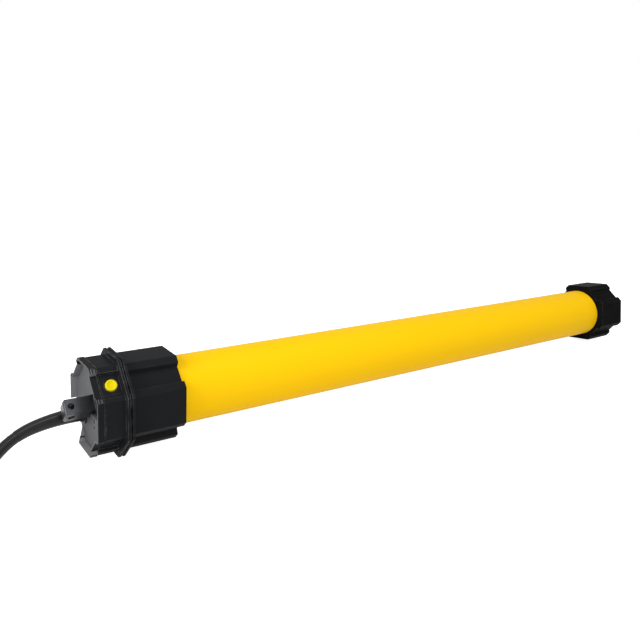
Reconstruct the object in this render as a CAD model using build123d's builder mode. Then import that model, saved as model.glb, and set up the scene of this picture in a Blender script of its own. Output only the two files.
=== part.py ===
"""Tubular roller blind motor for an octagonal shaft tube, lying on a flat surface.

X runs along the motor axis, from the head with its square pin at -X to the drive
wheel at +X. Y points away from the pin's lower front side, Z is up. The origin is
under the middle of the motor, on the surface that it rests on. Stations are
distances along the axis from the left face of the head's flange.
"""

import math
import os

from build123d import *

os.makedirs("parts", exist_ok=True)

# Driving sizes of the motor, in millimetres
tube_diameter = 45.0
tube_wall = 1.3
gearbox_cover_length = 67.1
profile_flats = 55.2
flange_flats = 62.6
flange_thickness = 1.7
flange_gap = 1.0
head_length = 16.5
crown_length = 35.4
wheel_length = 35.4
wheel_gap = 1.0
wheel_turn = -7.0
pin_reach = 12.3
pin_side = 10.0

# Moulded drive profile of head, crown and wheel
pad_notch_open = 13.2
pad_notch_floor = 10.4
head_notch_depth = 2.4
head_step_reach = 7.6
head_slope_reach = 6.0
head_land = 2.6
crown_notch_depth = 3.6
wheel_notch_depth = 2.6
wheel_lead_in = 1.2
profile_corner = 0.6

# Fits and common clearances
overrun = 1.0
running_clearance = 0.08
loose_clearance = 0.3
seat_clearance = 0.05
tube_fit = 0.05

# Head
cap_length = 4.0
cap_flats = 56.0
cap_face_recess = 3.5
cap_rim = 1.2
cap_plate = 2.0
cap_joint_gap = 0.7
cap_joint_depth = 1.2
cord_slot_base = 17.0
cord_slot_low = 11.0
cord_slot_foot = 2.0
cord_slot_high = 17.0
clip_window_length = 2.4
clip_window_width = 3.2
clip_window_reach = 9.6
clip_bar_length = 0.8
clip_bar_height = 0.7
latch_width = 1.5
latch_depth = 1.5
latch_side = 8.9
latch_slots = ((6.4, 3.4), (10.6, 1.8))
latch_well_front = 16.0
latch_well_slope = 9.0
latch_well_top = 11.0
latch_well_foot = 3.6
pocket_radius = 20.4
bulkhead_start = 0.6
bulkhead_end = 4.2
spigot_length = 26.0
spigot_wall = 2.7
wire_hole_radius = 4.2
head_screw_count = 3
head_screw_turn = 30.0
head_screw_station = 15.0
head_screw_radius = 1.6
head_screw_head_radius = 2.6

# Square mounting pin
pin_plate_side = 23.0
pin_plate_thickness = 2.5
pin_hole_radius = 2.0
pin_hole_inset = 4.2
pin_end_fillet = 1.6

# Set button on the upper front diagonal
button_station = -5.4
button_radius = 3.5
button_top = 26.0
button_collar_radius = 5.1
button_collar_thickness = 1.0
button_seat = 20.4
button_wall = 1.4
button_dish_depth = 0.5
button_dish_radius = 2.2
button_ring_groove_radius = 4.3
button_ring_groove_depth = 0.9
button_post_radius = 1.4
button_post_length = 0.8
button_travel = 1.2
return_ring_radius = 5.0
return_ring_wall = 0.6
switch_plunger_radius = 1.6
switch_plunger_height = 1.6
switch_side = 6.0
switch_height = 3.4
button_board_thickness = 1.2
button_board_width = 11.0
button_board_length = 10.8

# Mains cord
cord_diameter = 6.8
cord_exit_back = 11.0
cord_exit_drop = 8.4
gland_radius = 5.2
gland_flange_radius = 6.4
gland_flange_thickness = 1.2
gland_nose = 1.6
coil_pitch_gap = 0.6
coil_middle_radius = 34.0
coil_layer_half_turns = 9
bend_share = 0.45
floor_clearance = 0.1
core_radius = 1.1
core_length = 20.0
core_count = 4
core_spread = 1.43
ferrule_radius = 1.35
ferrule_length = 9.0

# Crown and what holds it
clip_station = 35.4
clip_thickness = 1.0
clip_groove_depth = 0.4
clip_height = 0.85
clip_gap_angle = 40.0
magnet_gap = 1.7
magnet_width = 4.2
magnet_thickness = 1.2

# Electronics inside the tube
carrier_station = 31.0
carrier_end_thickness = 2.5
carrier_floor_thickness = 2.0
carrier_floor_drop = 8.0
board_thickness = 1.6
board_width = 33.0
board_inset = 1.5
relay_length = 19.0
relay_width = 11.0
relay_height = 13.0
transformer_length = 24.0
transformer_width = 20.0
transformer_height = 15.0
terminal_length = 10.0
terminal_width = 20.0
terminal_height = 9.0
varistor_radius = 5.0
varistor_thickness = 4.0
chip_side = 8.0
chip_height = 1.5
board_gap = 4.0
capacitor_gap = 4.0
capacitor_radius = 15.5
capacitor_length = 64.0
capacitor_rim = 1.2
cradle_length = 9.0
cradle_inset = 8.0

# Motor
motor_gap = 6.0
shield_thickness = 9.0
shield_web = 4.0
shield_rim = 2.6
bearing_outer_radius = 8.0
bearing_width = 5.0
shaft_radius = 3.0
stator_length = 85.0
stator_bore = 11.75
stator_slots = 12
slot_depth = 5.4
slot_width = 3.4
slot_mouth = 1.3
tooth_tip_height = 1.0
winding_overhang = 7.0
winding_inner_radius = 13.6
winding_outer_radius = 18.3
winding_clearance = 0.1
air_gap = 0.35
end_ring_thickness = 3.0
end_ring_inner_radius = 7.0
shaft_tail = 2.0

# Holding brake
brake_length = 32.0
brake_wall = 1.9
brake_end_wall = 3.0
brake_disc_radius = 17.0
brake_disc_thickness = 4.0
brake_disc_inset = 8.0
brake_hub_radius = 5.0
brake_plate_radius = 18.6
brake_plate_bore = 7.0
brake_plate_thickness = 2.5
brake_travel = 0.6
brake_spring_inner_radius = 9.0
brake_spring_outer_radius = 13.0
brake_coil_inner_radius = 6.5
brake_coil_outer_radius = 15.5
brake_key_width = 4.0
brake_key_height = 0.9

# Planetary gearbox
gear_module = 0.9
ring_teeth = 39
sun_teeth = 9
planet_teeth = 15
planet_count = 3
gear_addendum_share = 0.85
gear_dedendum_share = 1.2
tooth_tip_share = 0.14
tooth_root_share = 0.50
space_tip_share = 0.36
space_root_share = 0.80
gearbox_lead = 6.0
first_face = 12.0
second_face = 13.0
third_face = 15.0
planet_bore = 2.0
planet_side_gap = 0.6
carrier_radius = 16.1
first_carrier_plate = 4.0
second_carrier_plate = 4.5
third_carrier_plate = 6.0
stage_gap = 5.0
pinion_bore = 1.5
pinion_lead = 2.0
cover_wall = 3.0
bushing_wall = 1.6
output_radius = 6.5
output_square = 10.0
output_square_chamfer = 1.2
thrust_washer_thickness = 1.5

# Drive wheel and its screw
wheel_plate = 2.6
wheel_wall = 2.6
wheel_hub_radius = 9.6
wheel_rib = 1.8
wheel_hub_inset = 6.0
wheel_square_clearance = 0.05
washer_radius = 8.0
washer_thickness = 1.2
screw_radius = 2.5
screw_head_radius = 4.6
screw_head_height = 2.6
screw_length = 14.0
screw_socket = 4.0
screw_socket_depth = 1.6

# Sizes that follow
tube_radius = tube_diameter / 2
magnet_inner_radius = tube_radius + magnet_gap
magnet_outer_radius = magnet_inner_radius + magnet_width
tube_bore = tube_radius - tube_wall
insert_radius = tube_bore - tube_fit
axis_height = flange_flats / 2
head_end = -head_length
cap_face = head_end + cap_face_recess
cap_joint = head_end + cap_length
tube_start = flange_thickness
crown_start = flange_thickness + flange_gap
crown_end = crown_start + crown_length

# Stations of what the tube holds, from the head to the tube's end
board_start = carrier_station + carrier_end_thickness + board_inset
terminal_centre = board_inset + terminal_length / 2
transformer_centre = terminal_centre + (terminal_length + transformer_length) / 2 + board_gap
relay_centre = transformer_centre + (transformer_length + relay_length) / 2 + board_gap
chip_centre = relay_centre + (relay_length + chip_side) / 2 + board_gap
varistor_start = chip_centre + (chip_side + board_gap) / 2
board_length = varistor_start + varistor_thickness + board_inset
carrier_length = board_length + 2 * (carrier_end_thickness + board_inset)
capacitor_start = carrier_station + carrier_length + capacitor_gap
capacitor_end = capacitor_start + capacitor_length
rear_shield_start = capacitor_end + motor_gap
rear_shield_end = rear_shield_start + shield_thickness
stator_start = rear_shield_end + winding_overhang + shield_rim
stator_end = stator_start + stator_length
front_shield_start = stator_end + winding_overhang + shield_rim
front_shield_end = front_shield_start + shield_thickness
brake_start = front_shield_end
brake_end = brake_start + brake_length
gearbox_start = brake_end
first_planets = gearbox_start + gearbox_lead
first_plate = first_planets + first_face + planet_side_gap
second_planets = first_plate + first_carrier_plate + stage_gap
second_plate = second_planets + second_face + planet_side_gap
third_planets = second_plate + second_carrier_plate + stage_gap
third_plate = third_planets + third_face + planet_side_gap
output_start = third_plate + third_carrier_plate
ring_end = output_start + thrust_washer_thickness + loose_clearance
tube_end = ring_end + gearbox_cover_length
tube_length = tube_end - tube_start

# The wheel's end, and the middle that the row is measured from
wheel_start = tube_end + wheel_gap
wheel_end = wheel_start + wheel_length
pin_tip = head_end - pin_reach
middle = (pin_tip + wheel_end) / 2
motor_axis = Axis(origin=(0, 0, axis_height), direction=(1, 0, 0))


def station(place):
    """Plane across the axis at a station, its x along +Y and its y along +Z."""
    return Plane(origin=(place - middle, 0, axis_height), x_dir=(0, 1, 0), z_dir=(1, 0, 0))


def diagonal(place, angle=135.0):
    """Plane that looks out along a diagonal, its x along the axis, its origin on the axis."""
    turn = math.radians(angle)
    out = (0, math.cos(turn), math.sin(turn))
    return Plane(origin=(place - middle, 0, axis_height), x_dir=(1, 0, 0), z_dir=out)


def disc(place, radius, hole=0.0):
    """A round section at a station, with a round hole if one is given."""
    with BuildSketch(station(place)) as face:
        Circle(radius)
        if hole:
            Circle(hole, mode=Mode.SUBTRACT)
    return face.sketch


def octagon(place, flats, corner=profile_corner):
    """An octagon with flats up, down, front and back, its corners eased."""
    with BuildSketch(station(place)) as face:
        RegularPolygon(flats / 2, 8, major_radius=False, rotation=22.5)
        if corner:
            fillet(face.vertices(), corner)
    return face.sketch


def notches(place, flats, depth):
    """The four hollows that the drive profile has on its diagonals."""
    inner = flats / 2 - depth
    outer = flats / 2 + overrun
    spread = (pad_notch_open - pad_notch_floor) / depth * (depth + overrun)
    with BuildSketch(station(place)) as face:
        with PolarLocations(0, 4, start_angle=45):
            Polygon(
                (inner, -pad_notch_floor / 2),
                (outer, -(pad_notch_floor + spread) / 2),
                (outer, (pad_notch_floor + spread) / 2),
                (inner, pad_notch_floor / 2),
                align=None,
            )
    return face.sketch


def head_profile(place, flats, inset=0.0):
    """The head's octagon, with hollows that step down from top and bottom and slope up to the sides."""
    half = flats / 2 - inset
    outer = half + overrun
    slope_end = half * math.tan(math.radians(22.5)) - head_land
    slope = (slope_end - head_slope_reach) / head_notch_depth
    step = head_step_reach + inset
    hollow = (
        (half - head_notch_depth, step),
        (outer, step),
        (outer, -slope_end - slope * overrun),
        (half - head_notch_depth, -head_slope_reach),
    )
    mirrored = [(out, -across) for out, across in hollow]
    with BuildSketch(station(place)) as face:
        RegularPolygon(half, 8, major_radius=False, rotation=22.5)
        fillet(face.vertices(), profile_corner)
        with PolarLocations(0, 2, start_angle=45):
            Polygon(*hollow, align=None, mode=Mode.SUBTRACT)
        with PolarLocations(0, 2, start_angle=135):
            Polygon(*mirrored, align=None, mode=Mode.SUBTRACT)
    return face.sketch


def square(place, side, angle=0.0, corner=0.0):
    """A square section at a station, turned about the axis, its corners cut."""
    with BuildSketch(station(place)) as face:
        Rectangle(side, side, rotation=angle)
        if corner:
            chamfer(face.vertices(), corner)
    return face.sketch


def spot(plane, radius, across=0.0, up=0.0):
    """A round section on any plane, moved across and up on it."""
    with BuildSketch(plane) as face:
        with Locations((across, up)):
            Circle(radius)
    return face.sketch


def block(plane, length, width, across=0.0, up=0.0):
    """A rectangular section on any plane, moved across and up on it."""
    with BuildSketch(plane) as face:
        with Locations((across, up)):
            Rectangle(length, width)
    return face.sketch


def save(piece, name):
    """Label a finished piece and write its STEP file."""
    piece.part.label = name
    export_step(piece.part, f"parts/{name}.step")


# Head housing: drive profile, flange, pocket, bulkhead and the spigot in the tube
spigot_end = tube_start + spigot_length
with BuildPart() as head_housing:
    extrude(head_profile(cap_joint, profile_flats), amount=-cap_joint + flange_thickness / 2)
    extrude(disc(cap_joint, flange_flats), amount=cap_joint_gap, mode=Mode.SUBTRACT)
    extrude(head_profile(cap_joint, profile_flats, cap_joint_depth), amount=cap_joint_gap)
    extrude(octagon(0, flange_flats), amount=flange_thickness)
    extrude(disc(0, insert_radius), amount=spigot_end)
    extrude(disc(cap_joint, pocket_radius), amount=bulkhead_start - cap_joint, mode=Mode.SUBTRACT)
    extrude(
        disc(bulkhead_end, insert_radius - spigot_wall),
        amount=spigot_end - bulkhead_end + overrun,
        mode=Mode.SUBTRACT,
    )
    extrude(
        spot(station(bulkhead_start), wire_hole_radius, cord_exit_back, -cord_exit_drop),
        amount=bulkhead_end - bulkhead_start,
        mode=Mode.SUBTRACT,
    )
    out = diagonal(button_station)
    panel = profile_flats / 2 - head_notch_depth
    extrude(
        spot(out, button_radius + running_clearance),
        amount=panel + overrun,
        mode=Mode.SUBTRACT,
    )
    extrude(
        spot(out.offset(panel - button_ring_groove_depth), button_ring_groove_radius),
        amount=button_ring_groove_depth + overrun,
        mode=Mode.SUBTRACT,
    )
    extrude(
        spot(out, button_collar_radius + loose_clearance),
        amount=button_seat,
        mode=Mode.SUBTRACT,
    )
    for number in range(head_screw_count):
        turn = head_screw_turn + number * 360.0 / head_screw_count
        extrude(
            spot(diagonal(head_screw_station, turn), head_screw_radius),
            amount=tube_radius,
            mode=Mode.SUBTRACT,
        )
save(head_housing, "head_housing")

# End cap: a rim round a sunk face, the pin's square hole, a latch well beside it, and the cord's hole
with BuildPart() as head_end_cap:
    extrude(head_profile(head_end, cap_flats), amount=cap_length)
    extrude(disc(cap_joint, pocket_radius - seat_clearance), amount=cap_plate - (cap_joint - cap_face))
    extrude(head_profile(head_end, cap_flats, cap_rim), amount=cap_face_recess, mode=Mode.SUBTRACT)
    with BuildSketch(diagonal(head_end, 315).offset(cord_slot_base)):
        Polygon(
            (-overrun, cord_slot_low),
            (0, cord_slot_low),
            (cap_face_recess, cord_slot_foot),
            (cap_face_recess, -cord_slot_high),
            (-overrun, -cord_slot_high),
            align=None,
        )
    extrude(amount=cap_flats, mode=Mode.SUBTRACT)
    window_place = head_end + cap_length / 2
    for angle in (45, 135, 225):
        window = diagonal(window_place, angle).offset(cap_flats / 2 - cap_rim)
        for across in (-clip_window_reach, clip_window_reach):
            extrude(
                block(window.offset(-overrun), clip_window_length, clip_window_width, 0, across),
                amount=cap_rim + 2 * overrun,
                mode=Mode.SUBTRACT,
            )
            extrude(
                block(window, clip_bar_length, clip_window_width, 0, across),
                amount=clip_bar_height,
            )
    with BuildSketch(station(cap_face)):
        Polygon(
            (0, pin_side / math.sqrt(2)),
            (-latch_well_slope, latch_well_top),
            (-latch_well_front, latch_well_top),
            (-latch_well_front, -latch_well_foot),
            (0, -latch_well_foot),
            align=None,
        )
    extrude(amount=cap_plate, mode=Mode.SUBTRACT)
    for drop, length in latch_slots:
        extrude(
            block(station(cap_face), latch_width, length, -latch_side, -drop),
            amount=latch_depth,
            mode=Mode.SUBTRACT,
        )
    extrude(
        square(cap_face, pin_side + 2 * seat_clearance, 45),
        amount=cap_plate,
        mode=Mode.SUBTRACT,
    )
    extrude(
        spot(station(cap_face), gland_radius + seat_clearance, cord_exit_back, -cord_exit_drop),
        amount=cap_plate,
        mode=Mode.SUBTRACT,
    )
save(head_end_cap, "head_end_cap")

# Square pin with its foot behind the end cap and two holes across it near the tip
pin_foot = cap_face + cap_plate
with BuildPart() as mounting_pin:
    extrude(square(pin_tip, pin_side, 45), amount=pin_foot - pin_tip)
    fillet(mounting_pin.faces().sort_by(Axis.X)[0].edges(), pin_end_fillet)
    extrude(square(pin_foot, pin_plate_side, 45), amount=pin_plate_thickness)
    for angle in (45.0, 135.0):
        extrude(
            spot(diagonal(pin_tip + pin_hole_inset, angle), pin_hole_radius),
            amount=pin_side,
            both=True,
            mode=Mode.SUBTRACT,
        )
save(mounting_pin, "mounting_pin")

# Set button: a dished cap with a collar under its seat and a post over the switch
out = diagonal(button_station)
collar_top = button_seat - loose_clearance
collar_under = collar_top - button_collar_thickness
with BuildPart() as set_button:
    extrude(spot(out.offset(collar_under), button_radius), amount=button_top - collar_under)
    extrude(spot(out.offset(collar_under), button_collar_radius), amount=button_collar_thickness)
    extrude(
        spot(out.offset(collar_under), button_radius - button_wall),
        amount=button_top - collar_under - 2 * button_wall,
        mode=Mode.SUBTRACT,
    )
    extrude(
        spot(out.offset(button_top - button_dish_depth), button_dish_radius),
        amount=button_dish_depth,
        mode=Mode.SUBTRACT,
    )
    extrude(
        spot(out.offset(collar_under - button_post_length), button_post_radius),
        amount=button_top - button_wall - collar_under + button_post_length,
    )
save(set_button, "set_button")

# Tactile switch, its plunger and its small board under the button
plunger_top = collar_under - button_post_length - loose_clearance
switch_top = plunger_top - switch_plunger_height
switch_base = switch_top - switch_height
with BuildPart() as switch_plunger:
    extrude(
        spot(out.offset(plunger_top - switch_plunger_height - button_travel), switch_plunger_radius),
        amount=switch_plunger_height + button_travel,
    )
save(switch_plunger, "switch_plunger")
with BuildPart() as set_switch:
    extrude(block(out.offset(switch_base), switch_side, switch_side), amount=switch_height)
    extrude(
        spot(
            out.offset(switch_top - 2 * button_travel - loose_clearance),
            switch_plunger_radius + running_clearance,
        ),
        amount=2 * button_travel + loose_clearance,
        mode=Mode.SUBTRACT,
    )
save(set_switch, "set_switch")
board_shift = bulkhead_start - button_station - button_board_length / 2
with BuildPart() as button_board:
    extrude(
        block(
            out.offset(switch_base - button_board_thickness),
            button_board_length,
            button_board_width,
            board_shift,
        ),
        amount=button_board_thickness,
    )
save(button_board, "button_board")

# Silicone ring that pushes the button back, between the switch's board and the collar
with BuildPart() as button_return_ring:
    extrude(spot(out.offset(switch_base), return_ring_radius), amount=collar_under - switch_base)
    extrude(
        spot(out.offset(switch_base), return_ring_radius - return_ring_wall),
        amount=collar_under - switch_base,
        mode=Mode.SUBTRACT,
    )
save(button_return_ring, "button_return_ring")

# Rubber gland round the cord in the end cap
cord_radius = cord_diameter / 2
with BuildPart() as cable_gland:
    across, up = cord_exit_back, -cord_exit_drop
    extrude(spot(station(cap_face), gland_radius, across, up), amount=cap_plate)
    extrude(
        spot(station(cap_face - gland_flange_thickness), gland_flange_radius, across, up),
        amount=gland_flange_thickness,
    )
    extrude(
        spot(station(cap_face - gland_flange_thickness - gland_nose), gland_radius, across, up),
        amount=gland_nose,
    )
    extrude(
        spot(station(cap_face - gland_flange_thickness - gland_nose), cord_radius, across, up),
        amount=cap_plate + gland_flange_thickness + gland_nose,
        mode=Mode.SUBTRACT,
    )
save(cable_gland, "cable_gland")

# Screws through the tube into the head's spigot, hidden under the crown
with BuildPart() as head_screws:
    for number in range(head_screw_count):
        turn = head_screw_turn + number * 360.0 / head_screw_count
        place = diagonal(head_screw_station, turn)
        low = insert_radius - spigot_wall
        extrude(spot(place.offset(low), head_screw_radius), amount=tube_bore - low)
        extrude(
            spot(place.offset(tube_bore), head_screw_head_radius),
            amount=tube_wall - 2 * running_clearance,
        )
save(head_screws, "head_screws")

# Steel tube with the clip's groove and the screws' holes
with BuildPart() as motor_tube:
    extrude(disc(tube_start, tube_radius, tube_bore), amount=tube_length)
    extrude(
        disc(clip_station, tube_radius + overrun, tube_radius - clip_groove_depth),
        amount=clip_thickness,
        mode=Mode.SUBTRACT,
    )
    for number in range(head_screw_count):
        turn = head_screw_turn + number * 360.0 / head_screw_count
        extrude(
            spot(diagonal(head_screw_station, turn), head_screw_head_radius + seat_clearance),
            amount=tube_radius + overrun,
            mode=Mode.SUBTRACT,
        )
save(motor_tube, "motor_tube")

# Crown that the shaft tube turns: flange, notched octagon, bore and the clip's pocket
clip_outer = tube_radius - clip_groove_depth + clip_height
with BuildPart() as crown_ring:
    extrude(octagon(crown_start, flange_flats), amount=flange_thickness)
    extrude(octagon(crown_start, profile_flats), amount=crown_length)
    extrude(
        notches(crown_start + flange_thickness, profile_flats, crown_notch_depth),
        amount=crown_length - flange_thickness,
        mode=Mode.SUBTRACT,
    )
    extrude(
        disc(crown_start, tube_radius + running_clearance),
        amount=crown_length,
        mode=Mode.SUBTRACT,
    )
    extrude(
        disc(clip_station - loose_clearance, clip_outer + loose_clearance),
        amount=crown_end - clip_station + loose_clearance,
        mode=Mode.SUBTRACT,
    )
    extrude(
        disc(crown_start, magnet_outer_radius, magnet_inner_radius),
        amount=magnet_thickness,
        mode=Mode.SUBTRACT,
    )
save(crown_ring, "crown_ring")
with BuildPart() as encoder_magnet_ring:
    extrude(
        disc(crown_start, magnet_outer_radius - seat_clearance, magnet_inner_radius + seat_clearance),
        amount=magnet_thickness,
    )
save(encoder_magnet_ring, "encoder_magnet_ring")
with BuildPart() as crown_clip:
    extrude(disc(clip_station, clip_outer, tube_radius - clip_groove_depth), amount=clip_thickness)
    reach = clip_outer * math.tan(math.radians(clip_gap_angle / 2))
    with BuildSketch(station(clip_station)):
        Polygon((0, 0), (clip_outer, -reach), (clip_outer, reach), align=None)
    extrude(amount=clip_thickness, mode=Mode.SUBTRACT)
save(crown_clip, "crown_clip")

# Plastic carrier and circuit board for the limits and the radio or wired control
carrier_floor = -carrier_floor_drop
board_bed = carrier_floor
with BuildPart() as board_carrier:
    with BuildSketch(station(carrier_station)):
        Circle(insert_radius)
        with Locations((0, carrier_floor - carrier_floor_thickness - insert_radius)):
            Rectangle(2 * insert_radius, 2 * insert_radius, mode=Mode.SUBTRACT)
    extrude(amount=carrier_end_thickness)
    with BuildSketch(station(carrier_station + carrier_length - carrier_end_thickness)):
        Circle(insert_radius)
        with Locations((0, carrier_floor - carrier_floor_thickness - insert_radius)):
            Rectangle(2 * insert_radius, 2 * insert_radius, mode=Mode.SUBTRACT)
    extrude(amount=carrier_end_thickness)
    floor_width = 2 * math.sqrt(insert_radius**2 - (carrier_floor_drop + carrier_floor_thickness) ** 2)
    with BuildSketch(station(carrier_station)):
        with Locations((0, carrier_floor - carrier_floor_thickness / 2)):
            Rectangle(floor_width, carrier_floor_thickness)
    extrude(amount=carrier_length)
    extrude(
        spot(station(carrier_station), wire_hole_radius, cord_exit_back, cord_exit_drop),
        amount=carrier_length,
        mode=Mode.SUBTRACT,
    )
save(board_carrier, "board_carrier")
board_plane = Plane(
    origin=(board_start - middle, 0, axis_height + board_bed), x_dir=(1, 0, 0), z_dir=(0, 0, 1)
)
with BuildPart() as control_board:
    extrude(block(board_plane, board_length, board_width, board_length / 2), amount=board_thickness)
save(control_board, "control_board")
board_top = board_plane.offset(board_thickness)
with BuildPart() as board_components:
    extrude(block(board_top, terminal_length, terminal_width, terminal_centre), amount=terminal_height)
    extrude(
        block(board_top, transformer_length, transformer_width, transformer_centre),
        amount=transformer_height,
    )
    relay_side = (relay_width + board_gap / 2) / 2
    for side in (-relay_side, relay_side):
        extrude(block(board_top, relay_length, relay_width, relay_centre, side), amount=relay_height)
    extrude(block(board_top, chip_side, chip_side, chip_centre), amount=chip_height)
    varistor_plane = station(board_start + varistor_start)
    varistor_height = board_bed + board_thickness + varistor_radius
    extrude(spot(varistor_plane, varistor_radius, 0, varistor_height), amount=varistor_thickness)
save(board_components, "board_components")

# Run capacitor in two cradles
with BuildPart() as run_capacitor:
    extrude(disc(capacitor_start, capacitor_radius), amount=capacitor_length)
    rims = run_capacitor.edges().filter_by(GeomType.CIRCLE)
    chamfer(rims, capacitor_rim)
save(run_capacitor, "run_capacitor")
with BuildPart() as capacitor_cradles:
    for place in (capacitor_start + cradle_inset, capacitor_end - cradle_inset - cradle_length):
        extrude(disc(place, insert_radius, capacitor_radius + seat_clearance), amount=cradle_length)
save(capacitor_cradles, "capacitor_cradles")

# Motor: end shields with bearings, slotted stator, windings, rotor and shaft


def end_shield(web_start, rim_start, rim_length, seat_start):
    """An end shield: a web with a bearing seat and a rim that meets the tube."""
    with BuildPart() as shield:
        extrude(disc(web_start, insert_radius), amount=shield_web)
        extrude(disc(rim_start, insert_radius, insert_radius - shield_rim), amount=rim_length)
        hub = bearing_outer_radius + shield_rim
        extrude(disc(min(seat_start, web_start), hub), amount=max(bearing_width, shield_web) + shield_web)
        extrude(disc(seat_start, bearing_outer_radius), amount=bearing_width, mode=Mode.SUBTRACT)
        extrude(
            disc(min(seat_start, web_start), shaft_radius + loose_clearance),
            amount=shield_thickness,
            mode=Mode.SUBTRACT,
        )
    return shield


rear_seat = rear_shield_end - bearing_width
rear_end_shield = end_shield(
    rear_shield_start, rear_shield_start, stator_start - rear_shield_start, rear_seat
)
save(rear_end_shield, "rear_end_shield")
front_seat = front_shield_start
front_end_shield = end_shield(
    front_shield_end - shield_web, stator_end, front_shield_end - stator_end, front_seat
)
save(front_end_shield, "front_end_shield")
for name, place in (("rear_bearing", rear_seat), ("front_bearing", front_seat)):
    with BuildPart() as bearing:
        extrude(disc(place, bearing_outer_radius, shaft_radius + running_clearance), amount=bearing_width)
    save(bearing, name)


def slots(place, width, mouth, inner, outer):
    """The stator's slots: a wide body with a narrow mouth to the bore."""
    with BuildSketch(station(place)) as face:
        with PolarLocations(0, stator_slots):
            Polygon(
                (inner, -mouth / 2),
                (stator_bore + tooth_tip_height, -mouth / 2),
                (stator_bore + tooth_tip_height, -width / 2),
                (outer, -width / 2),
                (outer, width / 2),
                (stator_bore + tooth_tip_height, width / 2),
                (stator_bore + tooth_tip_height, mouth / 2),
                (inner, mouth / 2),
                align=None,
            )
    return face.sketch


slot_outer = stator_bore + tooth_tip_height + slot_depth
with BuildPart() as stator_core:
    extrude(disc(stator_start, insert_radius, stator_bore), amount=stator_length)
    extrude(
        slots(stator_start, slot_width, slot_mouth, stator_bore - overrun, slot_outer),
        amount=stator_length,
        mode=Mode.SUBTRACT,
    )
save(stator_core, "stator_core")
with BuildPart() as stator_windings:
    for place in (stator_start - winding_overhang, stator_end):
        extrude(disc(place, winding_outer_radius, winding_inner_radius), amount=winding_overhang)
    bar_inner = winding_inner_radius + winding_clearance
    bar_outer = slot_outer - winding_clearance
    with BuildSketch(station(stator_start)):
        with PolarLocations((bar_inner + bar_outer) / 2, stator_slots):
            Rectangle(bar_outer - bar_inner, slot_width - 2 * winding_clearance)
    extrude(amount=stator_length)
save(stator_windings, "stator_windings")

rotor_radius = stator_bore - air_gap
with BuildPart() as rotor_core:
    extrude(disc(stator_start, rotor_radius, shaft_radius), amount=stator_length)
save(rotor_core, "rotor_core")
with BuildPart() as rotor_end_rings:
    for place in (stator_start - end_ring_thickness, stator_end):
        extrude(disc(place, rotor_radius, end_ring_inner_radius), amount=end_ring_thickness)
save(rotor_end_rings, "rotor_end_rings")

# Holding brake between the motor and the gearbox
disc_start = brake_start + brake_disc_inset
disc_end = disc_start + brake_disc_thickness
plate_start = disc_end + loose_clearance
plate_end = plate_start + brake_plate_thickness
brake_bore = insert_radius - brake_wall
coil_start = plate_end + 2 * brake_travel
coil_end = brake_end - brake_end_wall
with BuildPart() as brake_housing:
    extrude(disc(brake_start, insert_radius, brake_bore), amount=brake_length)
    extrude(disc(coil_end, insert_radius), amount=brake_end_wall)
    extrude(disc(coil_end, shaft_radius + loose_clearance), amount=brake_end_wall, mode=Mode.SUBTRACT)
    with BuildSketch(station(brake_start)):
        with PolarLocations(brake_bore, 4):
            Rectangle(2 * brake_key_height, brake_key_width)
    extrude(amount=brake_length - brake_end_wall, mode=Mode.SUBTRACT)
save(brake_housing, "brake_housing")
with BuildPart() as brake_plate:
    extrude(disc(plate_start, brake_plate_radius, brake_plate_bore), amount=brake_plate_thickness)
    key_length = brake_bore + brake_key_height - loose_clearance - brake_plate_bore
    with BuildSketch(station(plate_start)):
        with PolarLocations(brake_plate_bore + key_length / 2, 4):
            Rectangle(key_length, brake_key_width - 2 * loose_clearance)
    extrude(amount=brake_plate_thickness)
save(brake_plate, "brake_plate")
with BuildPart() as brake_disc:
    extrude(disc(disc_start, brake_disc_radius, brake_hub_radius), amount=brake_disc_thickness)
save(brake_disc, "brake_disc")
with BuildPart() as brake_hub:
    extrude(disc(disc_start, brake_hub_radius, shaft_radius), amount=brake_disc_thickness)
save(brake_hub, "brake_hub")
with BuildPart() as brake_coil:
    extrude(
        disc(coil_start, brake_coil_outer_radius, brake_coil_inner_radius),
        amount=coil_end - coil_start,
    )
    extrude(
        disc(
            coil_start,
            brake_spring_outer_radius + loose_clearance,
            brake_spring_inner_radius - loose_clearance,
        ),
        amount=(coil_end - coil_start) / 2,
        mode=Mode.SUBTRACT,
    )
save(brake_coil, "brake_coil")
with BuildPart() as brake_spring:
    extrude(
        disc(plate_end, brake_spring_outer_radius, brake_spring_inner_radius),
        amount=(coil_start + coil_end) / 2 - plate_end,
    )
save(brake_spring, "brake_spring")

# Gear sizes from the module and the tooth counts
ring_pitch = gear_module * ring_teeth / 2
planet_pitch = gear_module * planet_teeth / 2
centre_distance = ring_pitch - planet_pitch
addendum = gear_module * gear_addendum_share
dedendum = gear_module * gear_dedendum_share
planet_pin_radius = planet_bore - seat_clearance


def toothed(place, teeth, low, high, low_share, high_share, turn=0.0, centre=(0, 0)):
    """A toothed section: straight sided teeth from the low to the high radius."""
    step = 2 * math.pi / teeth
    outline = []
    for number in range(teeth):
        middle_angle = math.radians(turn) + number * step
        for radius, share, side in (
            (low, low_share, -1),
            (high, high_share, -1),
            (high, high_share, 1),
            (low, low_share, 1),
        ):
            angle = middle_angle + side * share * step / 2
            outline.append((centre[0] + radius * math.cos(angle), centre[1] + radius * math.sin(angle)))
    with BuildSketch(station(place)) as face:
        Polygon(*outline, align=None)
    return face.sketch


def outside_gear(place, teeth, turn=0.0, centre=(0, 0)):
    """The section of a sun or a planet at a station."""
    pitch = gear_module * teeth / 2
    return toothed(
        place, teeth, pitch - dedendum, pitch + addendum, tooth_root_share, tooth_tip_share, turn, centre
    )


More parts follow.
